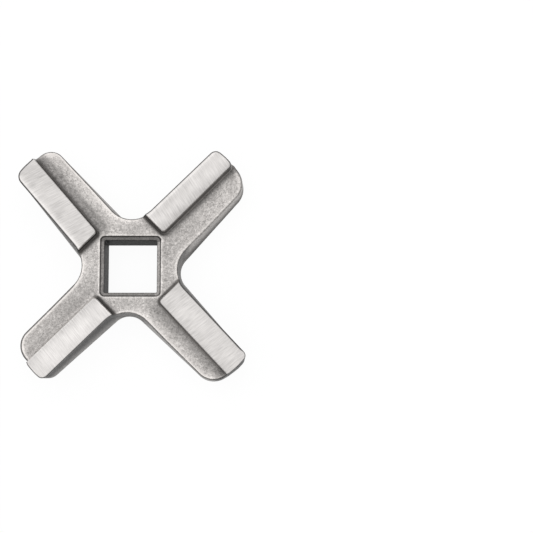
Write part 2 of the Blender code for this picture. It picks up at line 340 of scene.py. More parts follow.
# %% [markdown]
# The lines of the plan
#
# A triangle net only shows a crisp step where its edges run along the step. So the plan gets lines wherever
# the height rule bends: the rim, the hole, and a family of lines parallel to each land's crest. They are
# closest together on the round crest and the steep wall, where the height changes fastest. An even field of
# points fills what is left, so that the flat stretches can take the cast skin later.
#
# The rim lies a little inside the walls, because a small round joins the two. That round is fine where the
# land was ground, and fuller where the edge is as cast, so there is a radius for each kind of edge, and it
# passes smoothly from one to the next. How far in the rim lies depends on its height, and its height on
# where it lies, so the two are settled in a few turns.

# %% The rim
def normals_of(outline):
    """Outward directions at the points of a counterclockwise outline."""
    run = np.roll(outline, -1, 0) - np.roll(outline, 1, 0)
    run /= np.hypot(*run.T)[:, None]
    return np.stack([run[:, 1], -run[:, 0]], 1)


def wall_place(low, high, height):
    """X and Y of the drafted wall at a height, from the outlines at the back and at the lands."""
    share = ((height - back_round) / (top - back_round))[:, None]
    return low + (high - low) * share


def beyond_waist(out):
    """0 at the waist between two arms, 1 where an arm stands alone."""
    return smooth_step(out, 11, 14)


def beside_land(height):
    """0 where the rim is as low as the hub, 1 where it is as high as a land."""
    return smooth_step(height, hub, top - 0.5)


def at_the_tip(arm, out):
    """0 along an arm, 1 over its last millimetre."""
    return smooth_step(out - reaches[arm], -2.5, -1.0)


back_round, waist_rim = 0.6, 0.32
cast_rims = np.array([0.46, 0.32, 0.54, 0.32])
ground_rims = np.array([0.26, 0.34, 0.2, 0.36])
tip_rims = np.array([0.26, 0.34, 0.2, 0.15])
outward = normals_of(top_outline)
border = top_outline - outward * waist_rim
for step in range(4):
    rim_top = height_of(border)
    arm, out, side = on_arm(border)
    on_trailing_side = smooth_step(side, 0, 1)
    rim = waist_rim + (cast_rims[arm] - waist_rim) * beyond_waist(out) * on_trailing_side
    land_rim = ground_rims[arm] + (tip_rims - ground_rims)[arm] * at_the_tip(arm, out)
    rim = rim + (land_rim - rim) * beside_land(rim_top)
    border = wall_place(back_outline, top_outline, rim_top - rim) - outward * rim[:, None]
print("rim heights from", rim_top.min().round(2), "to", rim_top.max().round(2), "mm")

# %% The lines of the lands
def step_line(arm, spread):
    """A line parallel to one land's crest: in, round the inner corner, out to the tip and round it."""
    start, far = land_start - spread, -9.0
    inner = foot_of(arm, start) + spread
    outer = foot_of(arm, reaches[arm]) + spread
    end = end_of(arm, outer) + tip_gaps[arm] + spread
    corners = [
        (start, far, 0, 0, 22),
        (start, inner, corner_round + spread, 6, 88),
        (end, outer, outer_corner_rounds[arm] + spread, 9, 22),
        (end_of(arm, far) + tip_gaps[arm] + spread, far, 0, 0, 1),
    ]
    line = rounded(corners)
    return place(arm, line[:, 0], line[:, 1])


def bevel_line(arm):
    """The inner edge of the bevel along the cutting edge."""
    outs = np.linspace(land_start, reaches[arm] + 1, 92)
    return place(arm, outs, edge_of(arm, outs) + bevel_width)


spreads = [-crest_round, -0.1, -0.04, 0, 0.1, 0.2, 0.3, 0.41, 0.53, 0.66, 0.8, 0.95, 1.1]
lines = [step_line(arm, spread) for arm in arms for spread in spreads] + [bevel_line(arm) for arm in arms]
print("lines on the plan:", len(lines))

# %% [markdown]
# The drive hole
#
# The square hole takes the end of the feed screw. Its rim isn't a plain chamfer: the casting has a short
# steep step, then a flatter band, and then the wall, which closes in a little towards the back, as a core
# is drafted. That profile is a few corners with small radii, each written as how far outside the wall's
# line it lies and how deep. The last corner only shows which way the profile leaves, and isn't used. The
# same profile goes all round, with a fuller corner radius at the rim than deep in the hole.

# %% The hole's profile
def square(half, radius):
    """A square with rounded corners, as many points for any radius."""
    return rounded([(half * x, half * y, radius, 6, 44) for x, y in ((1, 1), (-1, 1), (-1, -1), (1, -1))])


hole_back, hole_draft = 0.3, 0.25
hole_profile = rounded([
    (1.1, 0, 0, 0, 1),
    (1.0, 0.02, 0.12, 3, 1),
    (0.72, 0.36, 0.12, 3, 2),
    (0.08, 0.72, 0.14, 3, 1),
    (0, 0.95, 0.1, 2, 14),
    (-hole_draft, hub - hole_back, 0.1, 2, 1),
    (hole_back - hole_draft, hub, 0, 0, 1),
    (3.0, hub, 0, 0, 1),
])[:-1]


def hole_ring(offset, depth):
    """One ring of the hole, at an offset outside the wall and a depth under the hub."""
    corner = 0.3 + 0.8 * min(offset, 1.1)
    ring = square(drive_half + offset, corner)
    return np.column_stack([ring, np.full(len(ring), hub - depth)])


hole_rings = [hole_ring(*point) for point in hole_profile]
print("rings down the hole:", len(hole_rings))

# %% [markdown]
# From lines to a net
#
# Delaunay triangulation joins points into a net of the most even triangles it can, and its constrained form
# keeps the lines that it is given. Blender has it in mathutils. It covers the whole hull of the points, so
# the net is trimmed afterwards: starting from one triangle of the knife, it spreads until it meets the rim
# or the hole. Where lines cross, a point is added. The rim may so get new points, and the walls have to use
# them too, so the net's own border is read back.

# %% Points inside an outline
def inside(points, outline):
    """Which points lie inside a closed outline, by counting the sides that a ray crosses."""
    x, y = points.T
    result = np.zeros(len(points), bool)
    for (x1, y1), (x2, y2) in zip(outline, np.roll(outline, -1, 0)):
        if y1 != y2:
            result ^= ((y1 > y) != (y2 > y)) & (x < (x2 - x1) * (y - y1) / (y2 - y1) + x1)
    return result


def field(outline, spacing, kept_off, clearance):
    """Points in staggered rows, inside an outline and clear of other points."""
    low, high = outline.min(0), outline.max(0)
    across = np.arange(low[0], high[0], spacing)
    up = np.arange(low[1], high[1], spacing * math.sqrt(0.75))
    x, y = np.meshgrid(across, up)
    x[1::2] += spacing / 2
    points = np.column_stack([x.ravel(), y.ravel()])
    points = points[inside(points, outline)]
    tree = KDTree(len(kept_off))
    for i, point in enumerate(kept_off):
        tree.insert((*point, 0), i)
    tree.balance()
    clear = [tree.find((*point, 0))[2] > clearance for point in points]
    return points[clear]

# %% Trimming to a fence
def fenced(points, triangles, fence, border, hole):
    """The triangles that a fence of edges closes in, starting from a large one inside the border."""
    neighbours = {}
    for number, triangle in enumerate(triangles):
        for side in zip(triangle, np.roll(triangle, -1)):
            neighbours.setdefault(frozenset(side), []).append(number)
    centres = points[triangles].mean(1)
    runs = points[triangles[:, 1:]] - points[triangles[:, :1]]
    areas = abs(runs[:, 0, 0] * runs[:, 1, 1] - runs[:, 0, 1] * runs[:, 1, 0])
    waiting = [int((areas * (inside(centres, border) & ~inside(centres, hole))).argmax())]
    kept = set(waiting)
    while waiting:
        triangle = triangles[waiting.pop()]
        for side in map(frozenset, zip(triangle, np.roll(triangle, -1))):
            new = [number for number in neighbours[side] if side not in fence and number not in kept]
            kept.update(new)
            waiting += new
    return triangles[sorted(kept)]

# %% The net
def net(border, hole, lines, spacing):
    """Points and triangles that fill a border around a hole and keep the lines."""
    loops = [border, hole]
    fixed = np.vstack(loops + lines)
    clear_share = 0.42
    fill = field(border, spacing, fixed, spacing * clear_share)
    points = np.vstack([fixed, fill])
    edges, first = [], 0
    for row in loops + lines:
        count = len(row)
        edges += [(first + i, first + i + 1) for i in range(count - 1)]
        if first < len(border) + len(hole):
            edges.append((first + count - 1, first))
        first += count
    whole_hull, nearest = 0, 1e-5
    made = delaunay_2d_cdt([Vector(point) for point in points], edges, [], whole_hull, nearest, True)
    points, made_edges, triangles, _, sources, _ = made
    points = np.array([tuple(point) for point in points])
    triangles = np.array([tuple(face) for face in triangles])
    loop_sides = len(border) + len(hole)
    fence = {frozenset(edge) for edge, source in zip(made_edges, sources)
             if min(source, default=loop_sides) < loop_sides}
    triangles = fenced(points, triangles, fence, border, hole)
    used = np.unique(triangles)
    numbers = np.zeros(len(points), int)
    numbers[used] = np.arange(len(used))
    return points[used], numbers[triangles]


def loops_of(triangles):
    """The borders of a net, each as a row of point numbers."""
    following = {}
    sides = {(a, b) for triangle in triangles for a, b in zip(triangle, np.roll(triangle, -1))}
    for a, b in sides:
        if (b, a) not in sides:
            following[a] = b
    loops = []
    while following:
        first, point = following.popitem()
        loop = [first]
        while point != first:
            loop.append(point)
            point = following.pop(point)
        loops.append(loop)
    return sorted(loops, key=len, reverse=True)


plan, plan_faces = net(border, hole_rings[0][:, :2], lines, spacing=0.4)
plan_loops = loops_of(plan_faces)
print("points:", len(plan), "triangles:", len(plan_faces), "borders:", [len(loop) for loop in plan_loops])

# %% [markdown]
# Walls and back
#
# The rest is rings. From each point of the rim a short arc turns down into the wall, the wall follows the
# draft to the back, and another arc rounds the back edge. The new points on the rim lie between two old
# ones, so everything the walls need is read off the outlines at that same place between the two.

# %% Rings down the outside
def places_between(points, outline):
    """For each point: the nearest side of an outline, how far along that side, and how far away."""
    found = []
    run = np.roll(outline, -1, 0) - outline
    for some in np.array_split(points, 1 + len(points) // 1500):
        gap = some[:, None] - outline
        share = np.clip((gap * run).sum(2) / (run * run).sum(1), 0, 1)
        distance = np.linalg.norm(gap - share[..., None] * run, axis=2)
        side, rows = distance.argmin(1), np.arange(len(some))
        found.append(np.column_stack([side, share[rows, side], distance[rows, side]]))
    side, share, distance = np.concatenate(found).T
    return side.astype(int), share, distance


def read_off(values, side, share):
    """Values of an outline's points, read between them."""
    share = share if values.ndim == 1 else share[:, None]
    return values[side] * (1 - share) + np.roll(values, -1, 0)[side] * share


rim_loop = plan[plan_loops[0]]
side, share, _ = places_between(rim_loop, border)
low, high = read_off(back_outline, side, share), read_off(top_outline, side, share)
away, radius = read_off(outward, side, share), read_off(rim, side, share)
rim_top = height_of(rim_loop)
wall_top = wall_place(low, high, rim_top - radius)

outer_rings = []
for turn in np.radians([15, 30, 45, 60, 75, 90]):
    xy = rim_loop + (wall_top - rim_loop) * math.sin(turn)
    outer_rings.append(np.column_stack([xy, rim_top - radius * (1 - math.cos(turn))]))
for part in np.linspace(0, 1, 25)[1:]:
    height = (rim_top - radius) * (1 - part) + back_round * part
    outer_rings.append(np.column_stack([wall_place(low, high, height), height]))
back_away = read_off(normals_of(back_outline), side, share)
for turn in np.radians([22.5, 45, 67.5, 90]):
    xy = low - back_away * back_round * (1 - math.cos(turn))
    outer_rings.append(np.column_stack([xy, np.full(len(xy), back_round * (1 - math.sin(turn)))]))
back, back_faces = net(outer_rings[-1][:, :2], hole_rings[-1][:, :2], [], spacing=0.7)
print("rings down the outside:", len(outer_rings), "and triangles on the back:", len(back_faces))

# %% [markdown]
# What the finish needs to know
#
# The finish changes with the place: shade is painted into the hollows, and highlights onto the rims. A shader
# can't measure how far it is from a rim, so the mesh carries those distances as attributes.
# Distance grows evenly across a triangle, so it stays exact between the points, and a narrow bright line
# along a rim comes out sharp although the triangles are larger than the line. On the walls the same
# attributes go below zero and give the depth under the rim.

# %% Distances
far_off = 20.0
plan_arm, plan_out, plan_side = on_arm(plan)
from_edge = plan_side - edge_of(plan_arm, plan_out)
from_rim = places_between(plan, rim_loop)[2]
from_hole = places_between(plan, hole_rings[0][:, :2])[2]
print("points within 1 mm of the rim:", (from_rim < 1).sum())

# %% [markdown]
# Painted shade in the hollows
#
# Shade is painted into the skin in the corner at the foot of a land and around its inner end. So each arm has
# a row of painted shades, one for each distance from the land's crest. A shade of 1 is black, 0 is the plain
# skin, and below 0 it is painted light. The end of each land has a row as well, and the hub gets a little
# painted shade, least on its left.

# %% Shades
from_crest = [0.0, 0.3, 0.6, 0.85, 1.1, 1.7, 2.4, 3.2, 4.2, 4.8, 8.0]
foot_shades = [
    [0.68, 0.72, 0.62, 0.52, 0.43, 0.14, 0.10, 0.09, 0.10, 0.13, 0.00],
    [0.90, 0.81, 0.63, 0.58, 0.54, 0.43, 0.49, 0.14, -0.05, -0.15, 0.00],
    [-0.30, -0.30, 0.00, 0.00, 0.12, 0.30, 0.28, 0.20, 0.19, 0.19, 0.00],
    [0.88, 0.62, 0.34, 0.36, 0.39, 0.38, 0.25, 0.08, -0.12, -0.10, 0.00],
]
end_shades = [0.93, 0.91, 0.80, 0.50, 0.25, 0.05, 0.00, 0.00, 0.00, 0.00, 0.00]
end_depths = np.array([1.0, 1.0, 1.0, 0.75])
hub_shade, hub_left_lift, hub_right_lift = 0.19, 0.13, 0.06
hub_inner, hub_outer = 9.0, 15.0

# Painted shade beside each land and before its inner end, and painted shade on the hub.
from_land, land_light = np.full(len(plan), far_off), np.ones(len(plan))
for arm in arms:
    gap, endwise = land_distance(arm, plan @ place(arm, 1, 0), plan @ place(arm, 0, 1))
    beside = np.interp(gap, from_crest, foot_shades[arm]) * (1 - endwise)
    before = np.interp(gap, from_crest, end_shades) * end_depths[arm] * endwise
    land_light *= 1 - beside - before
    from_land = np.minimum(from_land, gap)
hub_left, hub_right = [smooth_step(reach, 1, 8) for reach in (-plan[:, 0], plan[:, 0])]
on_hub = 1 - smooth_step(np.hypot(*plan.T), hub_inner, hub_outer)
hub_light = 1 - (hub_shade - hub_left_lift * hub_left - hub_right_lift * hub_right) * on_hub
print("darkest point of the skin:", round(1 - land_light.min(), 2))

# %% [markdown]
# Painted highlights
#
# A painted sheen is added to the steel's grey instead. Each land has its own painted level, and a little more
# or less at its crown, the middle of its width, and along its crest. On the skin, the tips and the rims of
# the arms get a painted highlight, which is painted shade on the rims of the first arm, and the notch beside
# the end of a land gets painted shade. The edge highlights say how strong the painted highlight is on each
# arm's bevel along the cutting edge and on the thin line at the foot of its land.

# %% Sheens
# Painted light and shade on each land and on the skin, one value for each arm, and the strength of each arm's
# painted edge highlights.
land_sheens = np.array([-0.185, -0.02, -0.045, -0.06])
crown_sheens = np.array([0.24, -0.01, 0.16, 0.07])
crest_sheens = np.array([0.15, 0.0, 0.25, 0.0])
tip_sheens = np.array([0.0, 0.2, 0.12, 0.05])
notch_sheens = np.array([-0.2, -0.14, -0.06, -0.3])
rim_sheens = np.array([-0.22, 0.12, 0.4, 0.06])
edge_highlights = np.array([1.0, 0.75, 0.3, 0.15])

crown = np.sin(np.pi * np.clip(from_edge / land_widths[plan_arm], 0, 1))
near_crest = smooth_step(from_land, -0.2, -0.05)
near_tip = smooth_step(plan_out, reaches[plan_arm] - 4, reaches[plan_arm] - 1)
off_notch, in_notch = smooth_step(from_land, 1.5, 3.5), 1 - smooth_step(from_land, 1.0, 3.0)
near_rim = (1 - smooth_step(from_rim, 0, 0.5)) * (1 - on_hub)
land_sheen = land_sheens[plan_arm] + crown_sheens[plan_arm] * crown + crest_sheens[plan_arm] * near_crest
skin_sheen = near_tip * (tip_sheens[plan_arm] * off_notch + notch_sheens[plan_arm] * in_notch)
skin_sheen = skin_sheen + rim_sheens[plan_arm] * near_rim
plan_marks = {
    "from_rim": from_rim,
    "from_hole": from_hole,
    "from_land": from_land,
    "from_edge": from_edge,
    "edge_highlight": edge_highlights[plan_arm],
    "shade": 1 - land_light * hub_light,
    "sheen": np.where(from_land < 0, land_sheen, skin_sheen),
    "cast": smooth_step(from_land, 0, 0.3),
    "dull": 0,
}
print("marks on the mesh:", ", ".join(plan_marks))

# %% [markdown]
# One closed body
#
# The net, the rings and the back go into one mesh and are welded where they meet. Points are added with
# their marks, and a ring is joined to the one before it by a band of faces.

# %% Adding to the body
body = bmesh.new()
layers = {name: body.verts.layers.float.new(name) for name in plan_marks}


def add_points(points, marks):
    """New points with their marks, each one value for all or one for each point."""
    made = [body.verts.new(Vector(point) * MM) for point in points]
    for name, layer in layers.items():
        for vert, value in zip(made, np.broadcast_to(marks.get(name, far_off), len(made))):
            vert[layer] = value
    return made


def add_rings(rings, loop, marks_of):
    """Faces between rings, from a loop that the mesh has, with the marks that each ring asks for."""
    for ring in rings:
        new = add_points(ring, marks_of(ring))
        for i, vert in enumerate(new):
            body.faces.new((loop[i - 1], loop[i], vert, new[i - 1]))
        loop = new


print("marks that each point carries:", len(layers))

# %% [markdown]
# Light on the walls
#
# The walls get painted shade, and they aren't alike. A table gives the light that is left at each depth under
# the rim, and there are three: for most walls, for the one long wall of the first arm that faces the right
# front and gets painted light, and for the waists between the arms. Under a land the wall gets more painted
# shade, most of all in its upper half, and it is smooth just below the ground face. The walls at the tip of
# the last arm get painted shade too. A wall seen at a slant shines however dark its colour is, so two kinds
# of wall also have a mark for how dull they are, which weakens that shine as more painted shade. The edge of
# the back takes the marks of the back, which is plain and a little darker.

# %% Marks on the walls
# Painted shade on the walls: the light left at each depth under the rim, for plain walls, the bright wall and
# the waists.
wall_depths = [0.0, 0.03, 0.1, 0.4, 1.0, 3.0, 5.5, 8.0, 11.0]
plain_lights = [1.0, 0.25, 0.27, 0.34, 0.48, 0.485, 0.49, 0.495, 0.5]
bright_wall_lights = [0.85, 0.6, 0.66, 0.76, 0.68, 0.6, 0.36, 0.22, 0.19]
waist_lights = [1.0, 0.5, 0.3, 0.2, 0.22, 0.26, 0.3, 0.34, 0.34]
land_wall_shade, upper_half_shade = 0.2, 0.62
dark_tips = np.array([0.0, 0.0, 0.0, 0.75])
bright_wall_dullness, waist_dullness = 0.6, 0.35
on_the_back = 0.001
back_marks = {"shade": 0.15, "edge_highlight": 0, "sheen": 0, "cast": 0.5, "dull": 0}

wall_arm, wall_out, wall_side = on_arm(rim_loop)
under_land = beside_land(rim_top)
on_waist = (1 - beyond_waist(wall_out)) * (1 - under_land)
# The first arm's long wall that faces the right front gets painted light.
towards_right_front = smooth_step(away @ [0.63, -0.78], 0, 0.5)
on_bright_wall = np.where(wall_arm == 0, towards_right_front, 0) * (1 - under_land) * (1 - on_waist)


def wall_marks(ring):
    """On the outer walls: the depth under the rim, and the painted light and shade that each wall has there.
    """
    if ring[:, 2].max() < on_the_back:
        return back_marks
    depth = rim_top - ring[:, 2]
    light = np.interp(depth, wall_depths, plain_lights)
    light += on_bright_wall * (np.interp(depth, wall_depths, bright_wall_lights) - light)
    light += on_waist * (np.interp(depth, wall_depths, waist_lights) - light)
    upper_half = 1 - smooth_step(depth, 3.5, 9.5)
    # More painted shade under a land, and on the walls at the tip of the last arm.
    light *= 1 - under_land * (land_wall_shade + upper_half_shade * upper_half)
    light *= 1 - dark_tips[wall_arm] * at_the_tip(wall_arm, wall_out)
    just_below_ground = 1 - smooth_step(depth, 0.4, 0.9)
    # A dull wall's weaker shine is more painted shade.
    dullness = on_bright_wall * bright_wall_dullness + on_waist * waist_dullness
    return {"from_rim": -depth, "shade": 1 - light, "cast": 1 - under_land * just_below_ground,
            "edge_highlight": 0, "sheen": 0, "dull": dullness * smooth_step(depth, 1.5, 6)}


print("share of the rim under a land:", round(under_land.mean(), 2))

# %% [markdown]
# Light in the hole
#
# Each side of the hole has two painted shades of its own, one at the stepped rim and one on the wall below
# it; the right side's rim gets painted light. The marks give the depth under the hub, a finer skin than
# outside, and a weaker shine on the walls deep down, as more painted shade.

# %% Marks in the hole
# Painted shade at the rim and on the wall of each side of the hole; below 0 it is painted light.
rear_shades, left_shades, front_shades, right_shades = (0.4, 0.83), (0.0, 0.5), (0.08, 0.08), (-0.5, 0.0)
# A weaker shine deep in the hole, as painted shade.
hole_dullness, rear_dullness = 0.22, 0.16


def hole_marks(ring):
    """In the hole: the depth under the hub, and the painted shade of each side."""
    if ring[:, 2].max() < on_the_back:
        return back_marks
    depth = hub - ring[:, 2]
    deep = smooth_step(depth, 0.7, 1.0)
    rear, left, front, right = [smooth_step(reach, drive_half - 0.5, drive_half - 0.3)
                                for reach in (ring[:, 1], -ring[:, 0], -ring[:, 1], ring[:, 0])]
    shade = np.zeros(len(ring))
    for share, (rim_shade, wall_shade) in [(rear, rear_shades), (left * (1 - rear), left_shades),
                                           (front * (1 - rear), front_shades),
                                           (right * (1 - rear), right_shades)]:
        shade += share * (rim_shade + (wall_shade - rim_shade) * deep)
    return {"from_hole": -depth, "shade": shade, "edge_highlight": 0, "sheen": 0, "cast": 0.5,
            "dull": deep * (hole_dullness + rear_dullness * rear)}


print("depths down the hole in mm:", [round(hub - ring[0, 2], 2) for ring in hole_rings[:8]])

# %% [markdown]
# Sound or not
#
# A body is sound when every edge has exactly two faces, so that is counted here, and its volume can be held
# against the solid's.

# %% Put together
made = add_points(np.column_stack([plan, height_of(plan)]), plan_marks)
for triangle in plan_faces:
    body.faces.new([made[i] for i in triangle])
add_rings(outer_rings, [made[i] for i in plan_loops[0]], wall_marks)

hole_side, hole_share, _ = places_between(plan[plan_loops[1]], hole_rings[0][:, :2])
add_rings([read_off(ring, hole_side, hole_share) for ring in hole_rings[1:]],
          [made[i] for i in plan_loops[1]], hole_marks)

made = add_points(np.column_stack([back, np.zeros(len(back))]), back_marks)
for triangle in back_faces:
    body.faces.new([made[i] for i in triangle])

bmesh.ops.remove_doubles(body, verts=body.verts, dist=0.002 * MM)
bmesh.ops.recalc_face_normals(body, faces=body.faces)
bmesh.ops.triangulate(body, faces=body.faces)
open_edges = sum(len(edge.link_faces) != 2 for edge in body.edges)
print("triangles:", len(body.faces), "open edges:", open_edges, "mm3:", round(body.calc_volume() / MM ** 3))

# %% [markdown]
# Which faces were ground
#
# The grinder only touches the lands, so its faces are simply the highest ones. They get a map that is
# turned to the grinding marks of their arm: one direction across the marks and one along them, in
# millimetres. On a real knife these marks aren't quite square to the arm, and each arm was held a little
# differently.

# %% Ground faces and their map
mark_turns = np.radians([123, 28, 128, 38])
deepest_ground = top - bevel_drop - ground_rims.max()
ground_layer = body.faces.layers.bool.new("ground")
marks_map = body.loops.layers.uv.new("marks")
centres = np.array([face.calc_center_median() for face in body.faces]) / MM
for face, centre, arm in zip(body.faces, centres, on_arm(centres[:, :2])[0]):
    face.smooth = True
    face[ground_layer] = bool(centre[2] > deepest_ground)
    cosine, sine = math.cos(mark_turns[arm]), math.sin(mark_turns[arm])
    for loop in face.loops:
        x, y = loop.vert.co.xy / MM
        loop[marks_map].uv = (x * sine - y * cosine, x * cosine + y * sine)

knife_mesh = bpy.data.meshes.new("knife")
body.to_mesh(knife_mesh)
print("ground area in mm2:", round(sum(f.calc_area() for f in body.faces if f[ground_layer]) / MM ** 2))
body.free()

# %% [markdown]
# A small helper for node trees
#
# Every finish below is a node tree, and so is the modifier that roughens the casting. One helper keeps them
# short: it makes a node, sets its options, and fills each input, either with a plain value or with a link.

# %% Helper for nodes
def add(tree, kind, inputs=None, **options):
    """Make a node, set its options, and set or link its inputs."""
    node = tree.nodes.new(kind)
    for name, value in options.items():
        setattr(node, name, value)
    for name, value in (inputs or {}).items():
        if isinstance(value, bpy.types.NodeSocket):
            tree.links.new(value, node.inputs[name])
        else:
            node.inputs[name].default_value = value
    return node


def grey(level, green=0.957, blue=0.925):
    """The grey of the steel, with a touch of warmth."""
    return (level, level * green, level * blue, 1)


def tinted(tree, level, lightest):
    """A colour from black to the lightest grey, by a level."""
    mix = add(tree, "ShaderNodeMix", {0: level, 6: grey(0.0), 7: lightest}, data_type="RGBA")
    return mix.outputs[2]


def mark(tree, name):
    """One of the mesh's own distances, in millimetres."""
    return add(tree, "ShaderNodeAttribute", attribute_name=name).outputs["Fac"]


def ramp(tree, value, *stops):
    """A curve through stops, each a place and a level. The value may run outside 0 to 1."""
    low, high = stops[0][0], stops[-1][0]
    share = add(tree, "ShaderNodeMapRange", {"Value": value, "From Min": low, "From Max": high}).outputs[0]
    node = add(tree, "ShaderNodeValToRGB", {"Fac": share})
    elements = node.color_ramp.elements
    for number, (spot, level) in enumerate(stops):
        position = (spot - low) / (high - low)
        element = elements[number] if number < 2 else elements.new(position)
        element.position = position
        element.color = (level, level, level, 1)
    return node.outputs["Color"]


def times(tree, first, second):
    """Two numbers, or two grey levels, multiplied."""
    return add(tree, "ShaderNodeMath", {0: first, 1: second}, operation="MULTIPLY").outputs[0]


def plus(tree, first, second):
    """Two numbers added."""
    return add(tree, "ShaderNodeMath", {0: first, 1: second}, operation="ADD").outputs[0]


def noise(tree, where, scale, detail=3.0, roughness=0.55, twist=0.0):
    """Soft noise, its scale in patches for each unit. A twist draws the patches out into worms."""
    return add(tree, "ShaderNodeTexNoise", {"Vector": where, "Scale": scale, "Detail": detail,
                                            "Roughness": roughness, "Distortion": twist}).outputs["Fac"]


def one_minus(tree, value):
    """What is left of one."""
    return add(tree, "ShaderNodeMath", {0: 1.0, 1: value}, operation="SUBTRACT").outputs[0]


def in_millimetres(tree):
    """The piece's own coordinates in millimetres."""
    metres = add(tree, "ShaderNodeTexCoord").outputs["Object"]
    return add(tree, "ShaderNodeVectorMath", {0: metres, 3: 1 / MM}, operation="SCALE").outputs[0]


print("lightest grey of the steel:", grey(1.0))

# %% [markdown]
# The ground lands
#
# Grinding leaves fine parallel marks across a land. Here they are streaks of noise, stretched along their
# own direction by the map from above. Two scales are mixed, long soft ones and finer short ones, and they
# act twice: a little on the colour, and a little on the bump, so that they come alive when the light moves.
# The narrow bevel at the cutting edge gets a painted highlight.

# %% Ground steel
def streaks(tree, where, wide, long):
    """Noise stretched into lines, their width and length in millimetres."""
    scales = (1 / wide, 1 / long, 1)
    stretched = add(tree, "ShaderNodeVectorMath", {0: where, 1: scales}, operation="MULTIPLY")
    return noise(tree, stretched.outputs[0], 1.0, 2.0, 0.6)


ground_steel = bpy.data.materials.new("ground steel")
ground_steel.use_nodes = True
tree = ground_steel.node_tree
shader = tree.nodes["Principled BSDF"]
on_marks = add(tree, "ShaderNodeUVMap", uv_map="marks").outputs[0]
fine_marks = streaks(tree, on_marks, wide=0.16, long=3.5)
soft_marks = streaks(tree, on_marks, wide=0.45, long=7.0)
blotches = noise(tree, in_millimetres(tree), 0.22, 2.0)

land_grey = 0.42
level = plus(tree, ramp(tree, fine_marks, (0.3, 0.0), (0.7, 0.18)),
             ramp(tree, soft_marks, (0.3, 0.0), (0.7, 0.15)))
level = plus(tree, level, ramp(tree, blotches, (0.35, 0.0), (0.65, 0.08)))
# Painted highlight on the bevel along the cutting edge, as strong as the edge highlight mark says.
bevel_highlight = ramp(tree, mark(tree, "from_edge"), (0.0, 0.3), (0.55, 0.28), (0.8, 0.12), (1.2, 0.05), (1.7, 0.0))
level = plus(tree, level, times(tree, bevel_highlight, mark(tree, "edge_highlight")))
# The painted sheen of each land, lighter or darker.
level = plus(tree, plus(tree, level, mark(tree, "sheen")), land_grey)
# Painted shade: a dark line along the rounded rim of each land.
dark_rim = ramp(tree, mark(tree, "from_rim"), (-0.3, 0.2), (-0.01, 0.22), (0.0, 0.5), (0.1, 1.0))
level = times(tree, level, dark_rim)
tree.links.new(tinted(tree, level, grey(1.0, 0.967, 0.944)), shader.inputs["Base Color"])

shader.inputs["Metallic"].default_value = 1.0
tree.links.new(ramp(tree, soft_marks, (0.3, 0.3), (0.7, 0.42)), shader.inputs["Roughness"])
bump = add(tree, "ShaderNodeBump", {"Height": fine_marks, "Strength": 0.25, "Distance": 0.02 * MM})
tree.links.new(bump.outputs[0], shader.inputs["Normal"])
print("ground steel:", len(tree.nodes), "nodes")

# %% [markdown]
# The cast steel
#
# The rest of the knife is as it left the mould and the tumbler: matt, mottled in light and dark patches of a
# millimetre or less, and finely pitted. The patches are noise on the piece's own coordinates. Its light and
# shade are painted from the distances: a painted highlight on every rim and a fine one at the foot of the
# lands, painted shade beside them, on the walls and in the hole, which darkens and lightens down its steps.

# %% Cast steel
cast_steel = bpy.data.materials.new("cast steel")
cast_steel.use_nodes = True
tree = cast_steel.node_tree
shader = tree.nodes["Principled BSDF"]
where = in_millimetres(tree)
patches = noise(tree, where, 1.9, 4.0, 0.68, 0.8)
clouds = noise(tree, where, 0.16, 3.0)
grain = noise(tree, where, 5.5, 2.0, 0.6)
pits = ramp(tree, noise(tree, where, 2.6, 2.0, 0.5), (0.28, 0.0), (0.36, 1.0))

cast_grey = 0.24
skin = plus(tree, ramp(tree, patches, (0.3, 0.0), (0.7, 0.48)), ramp(tree, clouds, (0.35, 0.0), (0.65, 0.1)))
skin = plus(tree, skin, ramp(tree, grain, (0.3, 0.0), (0.7, 0.32)))
# The painted sheen: highlights at the tips and rims, shade in the notch beside a land.
skin = plus(tree, plus(tree, skin, cast_grey), mark(tree, "sheen"))
skin = times(tree, skin, ramp(tree, pits, (0.0, 0.72), (1.0, 1.0)))

rim_mark, hole_mark, land_mark = [mark(tree, "from_" + name) for name in ("rim", "hole", "land")]
# Painted highlights: a line on every rim of the skin, weaker near a land, and one round the hole.
rim_highlight = ramp(tree, rim_mark, (-0.02, 0.0), (0.0, 0.3), (0.2, 0.34), (0.42, 0.14), (1.0, 0.03), (2.0, 0.0))
rim_highlight = times(tree, rim_highlight, ramp(tree, land_mark, (0.3, 0.0), (1.2, 1.0)))
hole_rim_highlight = ramp(tree, hole_mark, (-0.02, 0.0), (0.05, 0.4), (0.25, 0.14), (0.6, 0.0))
# A thin painted highlight at the foot of a land, as strong as the edge highlight mark says.
foot_line = ramp(tree, land_mark, (0.3, 0.0), (0.41, 1.0), (0.52, 0.0))
foot_line = times(tree, foot_line, mark(tree, "edge_highlight"))
for bright_line in (rim_highlight, hole_rim_highlight, foot_line):
    skin = plus(tree, skin, bright_line)

# Painted shade down the hole, which darkens and lightens down its steps; then the painted shade and light of
# the shade mark.
hole_light = ramp(tree, hole_mark, (-8.5, 0.06), (-4.0, 0.12), (-1.1, 0.07), (-0.8, 0.16), (-0.68, 0.7),
                  (-0.4, 0.7), (-0.3, 0.25), (-0.04, 0.3), (0.0, 1.0))
skin = times(tree, times(tree, skin, hole_light), one_minus(tree, mark(tree, "shade")))
tree.links.new(tinted(tree, skin, grey(1.0)), shader.inputs["Base Color"])

shader.inputs["Metallic"].default_value = 0.85
